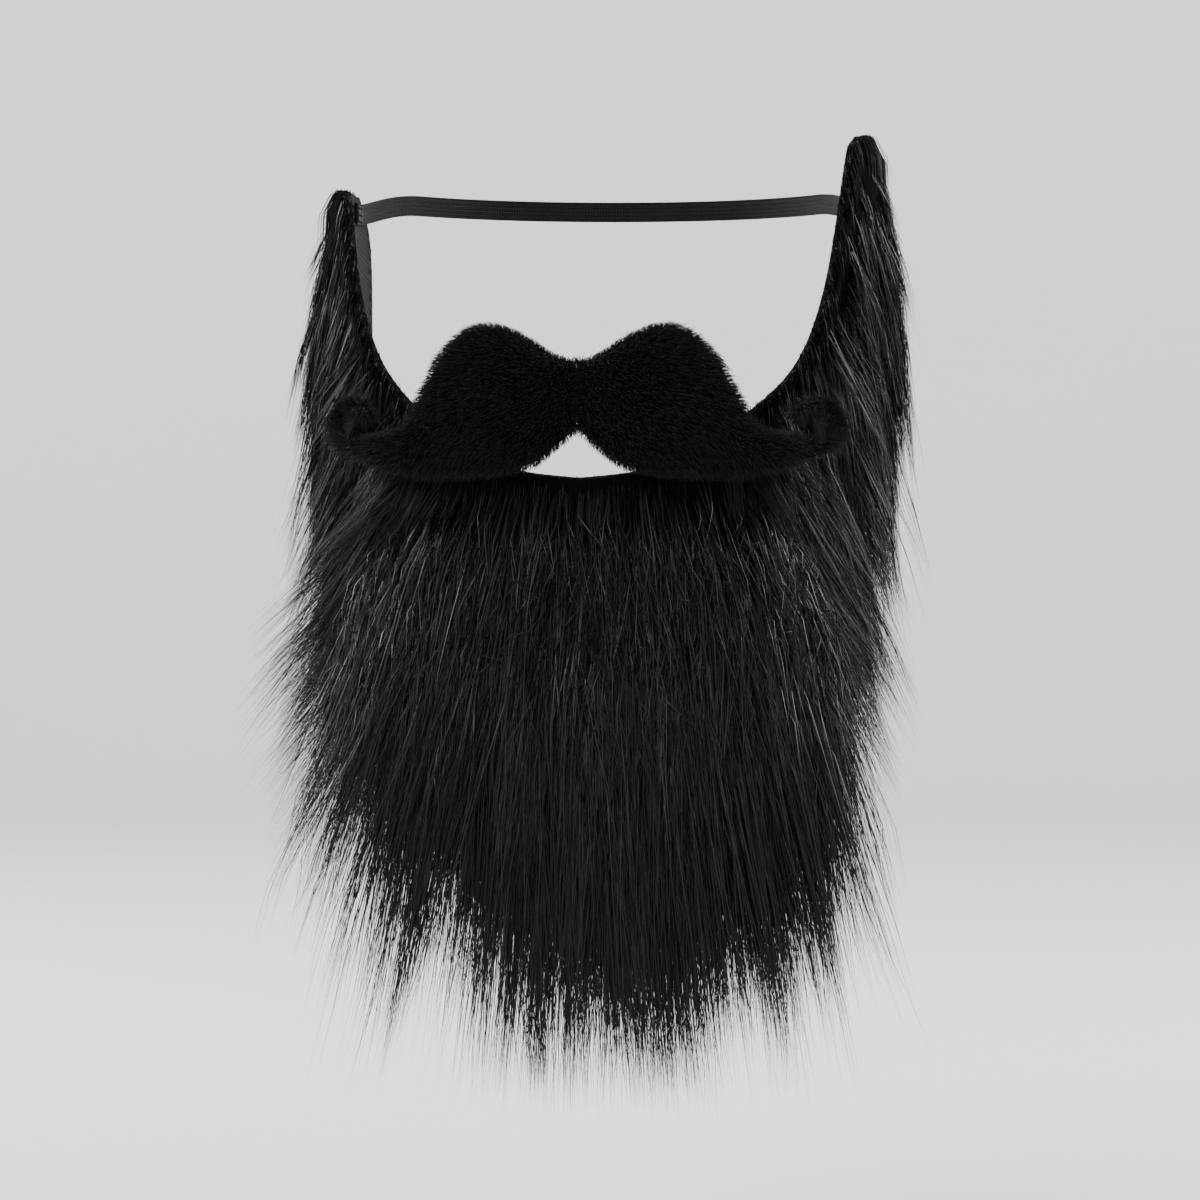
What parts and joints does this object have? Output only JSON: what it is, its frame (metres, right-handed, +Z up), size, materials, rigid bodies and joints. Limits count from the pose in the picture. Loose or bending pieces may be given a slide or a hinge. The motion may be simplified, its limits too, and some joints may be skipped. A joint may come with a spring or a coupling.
{
  "type": "fake beard",
  "caption": "Long black faux-fur costume beard with a curled handlebar moustache, a cloth backing shaped to the jaw and an elastic head band.",
  "frame": {"origin": "foremost point of the wearer's chin, on the inner face of the cloth backing, in the middle plane", "axes": "+Z up as worn, +X to the right of a viewer who faces the beard, -Y out of the face towards that viewer"},
  "size_m": [0.1827, 0.2182, 0.2797],
  "materials": {
    "backing": "matte knitted cloth",
    "fur": "long synthetic hair, combed down, faint sheen",
    "short_fur": "short dense pile, matte",
    "elastic": "woven elastic, matte"
  },
  "bodies": {
    "root": {"beard_backing": "backing", "chin_fur": "fur", "sideburn_fur_left": "fur", "sideburn_fur_right": "fur", "moustache_backing": "backing", "moustache_fur_left": "short_fur", "moustache_fur_right": "short_fur", "elastic_band": "elastic"}
  },
  "joints": []
}
